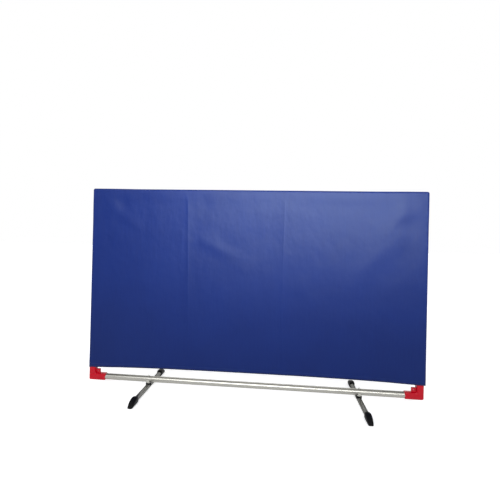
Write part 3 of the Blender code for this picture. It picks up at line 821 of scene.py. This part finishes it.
# %% Rules for creases and pulls
PULLS = (
    ((-0.655, 0.835), (-0.445, 0.640), 0.022, 0.0016),
    ((-0.640, 0.800), (-0.555, 0.560), 0.030, 0.0010),
    ((-0.250, 0.660), (-0.020, 0.545), 0.026, 0.0014),
    ((0.655, 0.740), (0.310, 0.385), 0.040, 0.0014),
    ((0.640, 0.825), (0.470, 0.600), 0.034, 0.0009),
    ((0.180, 0.500), (0.300, 0.300), 0.035, 0.0009),
)
CREASE_RIDGE, CREASE_SWELL, SWELL_WIDTH = 0.0006, 0.0007, 0.030


def crease_at(x, z):
    total = 0
    for top_x, hem_x in CREASES:
        line = hem_x + (top_x - hem_x) * (z - HEM_BASE) / COVER_HEIGHT
        off = abs(x - line)
        total += CREASE_RIDGE * max(0, 1 - off / CREASE_HALF)
        total += CREASE_SWELL * math.exp(-((off / SWELL_WIDTH) ** 2))
    return total


def pull_at(x, z):
    total = 0
    for start, end, width, rise in PULLS:
        start, end, point = Vector(start), Vector(end), Vector((x, z))
        line = end - start
        along = (point - start).dot(line) / line.length_squared
        across = (point - start - along * line).length / width
        total += rise * math.exp(-(across**2)) * ease(along * 3 + 0.2) * ease((1 - along) * 2)
    return total


def wave_at(x, z, seed):
    broad = noise.noise(Vector((x * 4.0, seed, z * 4.0)))
    fine = noise.noise(Vector((x * 11.0, seed + 5, z * 7.0)))
    return 0.0010 * broad + 0.0004 * fine


print("the left crease stands", round(1000 * crease_at(-0.272, 0.472), 2), "mm proud at half height")

# %% [markdown]
# ## Put the rules to work
# Every point first remembers where it lay on the flat bag, because the weave, the seams and the stitches follow the
# cloth and not the room. Then the point moves: the section of the bag becomes rounder over a tube, the faces go in,
# the creases and pulls come out, and the hem rises into its shallow bow.

# %% Shape the bag
HEM_TILT, HEM_BOW, BOW_POWER = 0.002, 0.0085, 2.5
TUBE_INSET, RING_INSET, SAG = 0.0018, 0.0012, 0.0022
TOP_DIP, DIP_X, DIP_EASE = 0.0008, 0.64, 0.15
FRONT_SEED, BACK_SEED, WAVE_STRENGTH = 3, 23, 1.2


def hem_height(x):
    reach = x / COVER_HALF
    return HEM_BASE + HEM_TILT * reach + HEM_BOW * (1 - min(abs(reach), 1) ** BOW_POWER)


flat_places = bag.verts.layers.float_vector.new("flat_place")
for vert in bag.verts:
    x, y, z = vert.co
    vert[flat_places] = (x, y, z)
    away = from_elbows(x, z)
    side = -1 if y < 0 else 1
    on_face = abs(y) > COVER_DEPTH - 1e-5
    y *= (COVER_DEPTH - TUBE_INSET * away) / COVER_DEPTH
    if on_face:
        ring = inside_ring(x, z)
        inward = RING_INSET * ring * (0.3 + 0.7 * away) + SAG * slack(x, z)
        forward = (crease_at(x, z) + pull_at(x, z)) * ring
        wave = WAVE_STRENGTH * wave_at(x, z, FRONT_SEED if side < 0 else BACK_SEED) * ring
        y -= side * (inward + wave) + forward
    if z > COVER_TOP - FOLD_RADIUS:
        z -= TOP_DIP * ease((DIP_X - abs(x)) / DIP_EASE)
    hem = hem_height(x)
    vert.co = (x, y, hem + (z - HEM_BASE) * (COVER_TOP - hem) / COVER_HEIGHT)
depths = [vert.co.y for vert in bag.verts]
print("bag from", round(min(depths), 4), "in front to", round(max(depths), 4), "behind")

# %% [markdown]
# ## Give the cloth a map
# A pattern needs a flat map of the surface. Each face takes its map from the side of the bag that it is on: the faces
# of the front and back by width and height, the folds by depth. The remembered flat places are the source, so the
# weave stays square to the cloth even where the hem bows.

# %% Map and finish the cover's mesh
cloth_map = bag.loops.layers.uv.new("cloth_map")
for face in bag.faces:
    corners = [loop.vert[flat_places] for loop in face.loops]
    spans = [max(corner[i] for corner in corners) - min(corner[i] for corner in corners) for i in range(3)]
    thin = spans.index(min(spans))
    for loop in face.loops:
        x, y, z = loop.vert[flat_places]
        place = {1: (x, z), 0: (y, z), 2: (x, y + COVER_TOP)}[thin]
        loop[cloth_map].uv = place
cover = piece_from(bag, "fine_cover")
shell = cover.modifiers.new("cloth", "SOLIDIFY")
shell.thickness = CLOTH_THICKNESS
shell.offset = -1
shell.use_even_offset = True
print("cover:", len(cover.data.polygons), "faces")

# %% [markdown]
# ## Woven polyester
# Seen close, the cloth is a plain weave of yarns about half a millimetre wide. Two sine patterns at right angles,
# taken in turn by a checker, raise the yarn that is on top. A slower noise adds the faint crumpling of cloth that was
# packed. Most of the soft haze comes from the reflection of a rough surface, with only a trace of sheen. A slightly
# cool tint in that reflection keeps the haze at the top from going pink.

# %% The cloth finish
cloth = Finish("blue_polyester", (0.0024, 0.012, 0.100), 0.40)
cloth.set(cloth.shader, **{"Sheen Weight": 0.01, "Sheen Roughness": 0.45, "Sheen Tint": (0.75, 0.80, 1.0, 1)})
cloth.set(cloth.shader, **{"Specular IOR Level": 0.175, "Specular Tint": (0.84, 0.98, 1.0, 1)})
uv = cloth.tree.nodes.new("ShaderNodeUVMap")
uv.uv_map = "cloth_map"
parts_of = cloth.add("ShaderNodeSeparateXYZ", Vector=uv.outputs["UV"])
across, along = parts_of.outputs["X"], parts_of.outputs["Y"]
YARN, WEAVE_RELIEF, CRUMPLE_RELIEF = 0.0006, 0.000025, 0.0022


def ridges(value, width):
    turned = cloth.combine("MULTIPLY", value, math.pi / width)
    return cloth.combine("ABSOLUTE", cloth.combine("SINE", turned, 0.0), 0.0)


over = cloth.add("ShaderNodeTexChecker", Vector=uv.outputs["UV"], Scale=1 / YARN)
cloth.set(over, Color1=(1, 1, 1, 1), Color2=(0, 0, 0, 1))
warp, weft = ridges(across, YARN), ridges(along, YARN)
top_yarn = cloth.combine("MULTIPLY", warp, over.outputs["Fac"])
under = cloth.combine("SUBTRACT", 1.0, over.outputs["Fac"])
weave = cloth.combine("ADD", top_yarn, cloth.combine("MULTIPLY", weft, under))
cloth.relief(weave, WEAVE_RELIEF)
crumple = cloth.speckle(16, 3, cloth.stretched(1.0, 1.0, 0.7))
cloth.relief(crumple, CRUMPLE_RELIEF)
print("yarn", YARN * 1000, "mm")

# %% [markdown]
# ## Colour of the cloth
# Dyed polyester is never one blue. Long faint streaks follow the yarns, and slow clouds change the depth of the dye.
# Both stay weak. A line of stitches is a narrow band where short dashes stand a little proud in a paler thread.
# A dark band painted along the hem stands in for the shade under its turned fold.

# %% Colour and stitches
HEM_SHADE_WIDTH, TURNED_HEM_WIDTH, HEM_RELIEF = 0.0035, 0.016, 0.0004
STITCH_HEIGHT, STITCH_HALF, STITCH_PITCH, STITCH_SHARE = 0.014, 0.0006, 0.004, 0.72
slow = cloth.speckle(5, 4)
streaks = cloth.speckle(420, 2, cloth.stretched(1, 1, 0.03))
tone = cloth.blend(cloth.spread(slow, 0.0, 1.0, 0.3, 0.7), (0.0020, 0.0106, 0.093), (0.0026, 0.0126, 0.105))
tone = cloth.blend(cloth.spread(streaks, 0.0, 0.16, 0.35, 0.65), tone, (0.006, 0.024, 0.150))


def band(value, middle, half):
    off = cloth.combine("ABSOLUTE", cloth.combine("SUBTRACT", value, middle), 0.0)
    return cloth.combine("LESS_THAN", off, half)


def dashes(value, pitch, share):
    fraction = cloth.combine("FRACT", cloth.combine("DIVIDE", value, pitch), 0.0)
    return cloth.combine("LESS_THAN", fraction, share)


# Painted shade: the lowest few millimetres of the cloth are darkened to stand in for the shadow in the turned hem's
# fold.
painted_hem_shade = cloth.combine("LESS_THAN", along, HEM_BASE + HEM_SHADE_WIDTH)
tone = cloth.blend(cloth.combine("MULTIPLY", painted_hem_shade, 0.6), tone, (0.001, 0.005, 0.045))
stitch_row = band(along, HEM_BASE + STITCH_HEIGHT, STITCH_HALF)
hem_row = cloth.combine("MULTIPLY", stitch_row, dashes(across, STITCH_PITCH, STITCH_SHARE))
tone = cloth.blend(cloth.combine("MULTIPLY", hem_row, 0.5), tone, (0.016, 0.040, 0.200))
cloth.set(cloth.shader, **{"Base Color": tone})
turned_hem = cloth.combine("LESS_THAN", along, HEM_BASE + TURNED_HEM_WIDTH)
cloth.relief(cloth.combine("ADD", cloth.combine("MULTIPLY", turned_hem, 0.7), hem_row), HEM_RELIEF)
print("cloth nodes:", len(cloth.tree.nodes))

# %% [markdown]
# ## Settle the cover
# The cover is one sheet, hung over the top rail and its elbows, and it rides on the frame in place of its coarse
# node.

# %% Settle the cover
settle(cover, cloth.material, "frame", "cover", sharp=60, weigh=False)

# %% [markdown]
# ## The studio
# A white floor and a white surround, as in a catalogue photograph. The floor is a wide plane that takes the shadows.
# It glows a little for the camera and for reflections, more with distance, and the world is pure white to them. So
# the background stays clean without more light on the barrier.

# %% Floor
FLOOR_DROP = 0.0003
GLOW_NEAR, GLOW_FAR, NEAR, FAR = 0.58, 0.80, 1.0, 3.2


def seen_directly(tree):
    """1 for rays that show a thing to the camera, straight, mirrored or through glass; 0 for rays that only light."""
    path = tree.nodes.new("ShaderNodeLightPath").outputs
    seen = path["Is Camera Ray"]
    for kind in ("Is Glossy Ray", "Is Transmission Ray"):
        larger = tree.nodes.new("ShaderNodeMath")
        larger.operation = "MAXIMUM"
        tree.links.new(seen, larger.inputs[0])
        tree.links.new(path[kind], larger.inputs[1])
        seen = larger.outputs[0]
    return seen


floor_bm = bmesh.new()
bmesh.ops.create_grid(floor_bm, x_segments=1, y_segments=1, size=30)
floor = piece_from(put(floor_bm, (0, 0, -FLOOR_DROP)), "floor")
floor_finish = Finish("pale_floor", (0.90, 0.90, 0.90), 0.7, **{"Specular IOR Level": 0.1})
from_middle = floor_finish.add("ShaderNodeVectorMath", Vector=floor_finish.where)
from_middle.operation = "LENGTH"
glow = floor_finish.spread(from_middle.outputs["Value"], GLOW_NEAR, GLOW_FAR, NEAR, FAR)
strength = floor_finish.combine("MULTIPLY", glow, seen_directly(floor_finish.tree))
floor_finish.set(floor_finish.shader, **{"Emission Color": (1, 1, 1, 1), "Emission Strength": strength})
floor.data.materials.append(floor_finish.material)
print("floor", round(floor.dimensions.x), "m wide")

# %% [markdown]
# ## The surround
# The world does two jobs. What the camera sees of it, straight or in a reflection, is pure white, as the picture's
# background is. As a light it is much weaker, so that the lamps shape the cloth and the background doesn't wash it
# out.

# %% Surround
WORLD_LIGHT, WORLD_SEEN = 0.42, 1.0
world = bpy.data.worlds.new("surround")
world.use_nodes = True
bpy.context.scene.world = world
background = world.node_tree.nodes["Background"]
background.inputs["Color"].default_value = (1, 1, 1, 1)
level = world.node_tree.nodes.new("ShaderNodeMapRange")
level.inputs["To Min"].default_value = WORLD_LIGHT
level.inputs["To Max"].default_value = WORLD_SEEN
world.node_tree.links.new(seen_directly(world.node_tree), level.inputs["Value"])
world.node_tree.links.new(level.outputs["Result"], background.inputs["Strength"])
print("surround:", WORLD_LIGHT, "as light,", WORLD_SEEN, "where it is seen")

# %% [markdown]
# ## Three lamps
# The photograph is lightest at the upper right of the cloth and deepens towards the hem. A wide key lamp with a
# narrow beam does that: it is aimed at the upper part, where it is also seen as a soft haze in the weave. A front
# lamp gives everything its plain light. The back lamp stands high, where the foot tubes don't mirror it, and lights
# the floor in the shadow of the cloth.

# %% Lamps
def lamp(name, place, target, size, power, beam=180):
    data = bpy.data.lights.new(name, "AREA")
    data.spread = math.radians(beam)
    data.shape = "RECTANGLE"
    data.size, data.size_y = size
    data.energy = power
    source = bpy.data.objects.new(name, data)
    bpy.context.scene.collection.objects.link(source)
    aim = (Vector(target) - Vector(place)).to_track_quat("-Z", "Y")
    source.matrix_world = Matrix.Translation(place) @ aim.to_matrix().to_4x4()
    source.visible_camera = False


lamp("key", (0.34, -1.50, 1.10), (0.10, 0, 0.90), (1.7, 0.8), 11.5, beam=64)
lamp("front", (-0.5, -2.3, 1.9), (0, 0, 0.3), (1.8, 1.0), 31)
lamp("back", (-0.1, 1.7, 2.1), (0, 0.1, 0), (2.4, 0.8), 13)
scene = bpy.context.scene
scene.view_settings.view_transform = "Standard"

# %% [markdown]
# ## The size
# The dressed barrier has to keep to the box of the engineering model. Only the right edge of the cloth stands past
# the engineering model's box, by 2.3 mm, because the cover sits a little to the right on its frame.
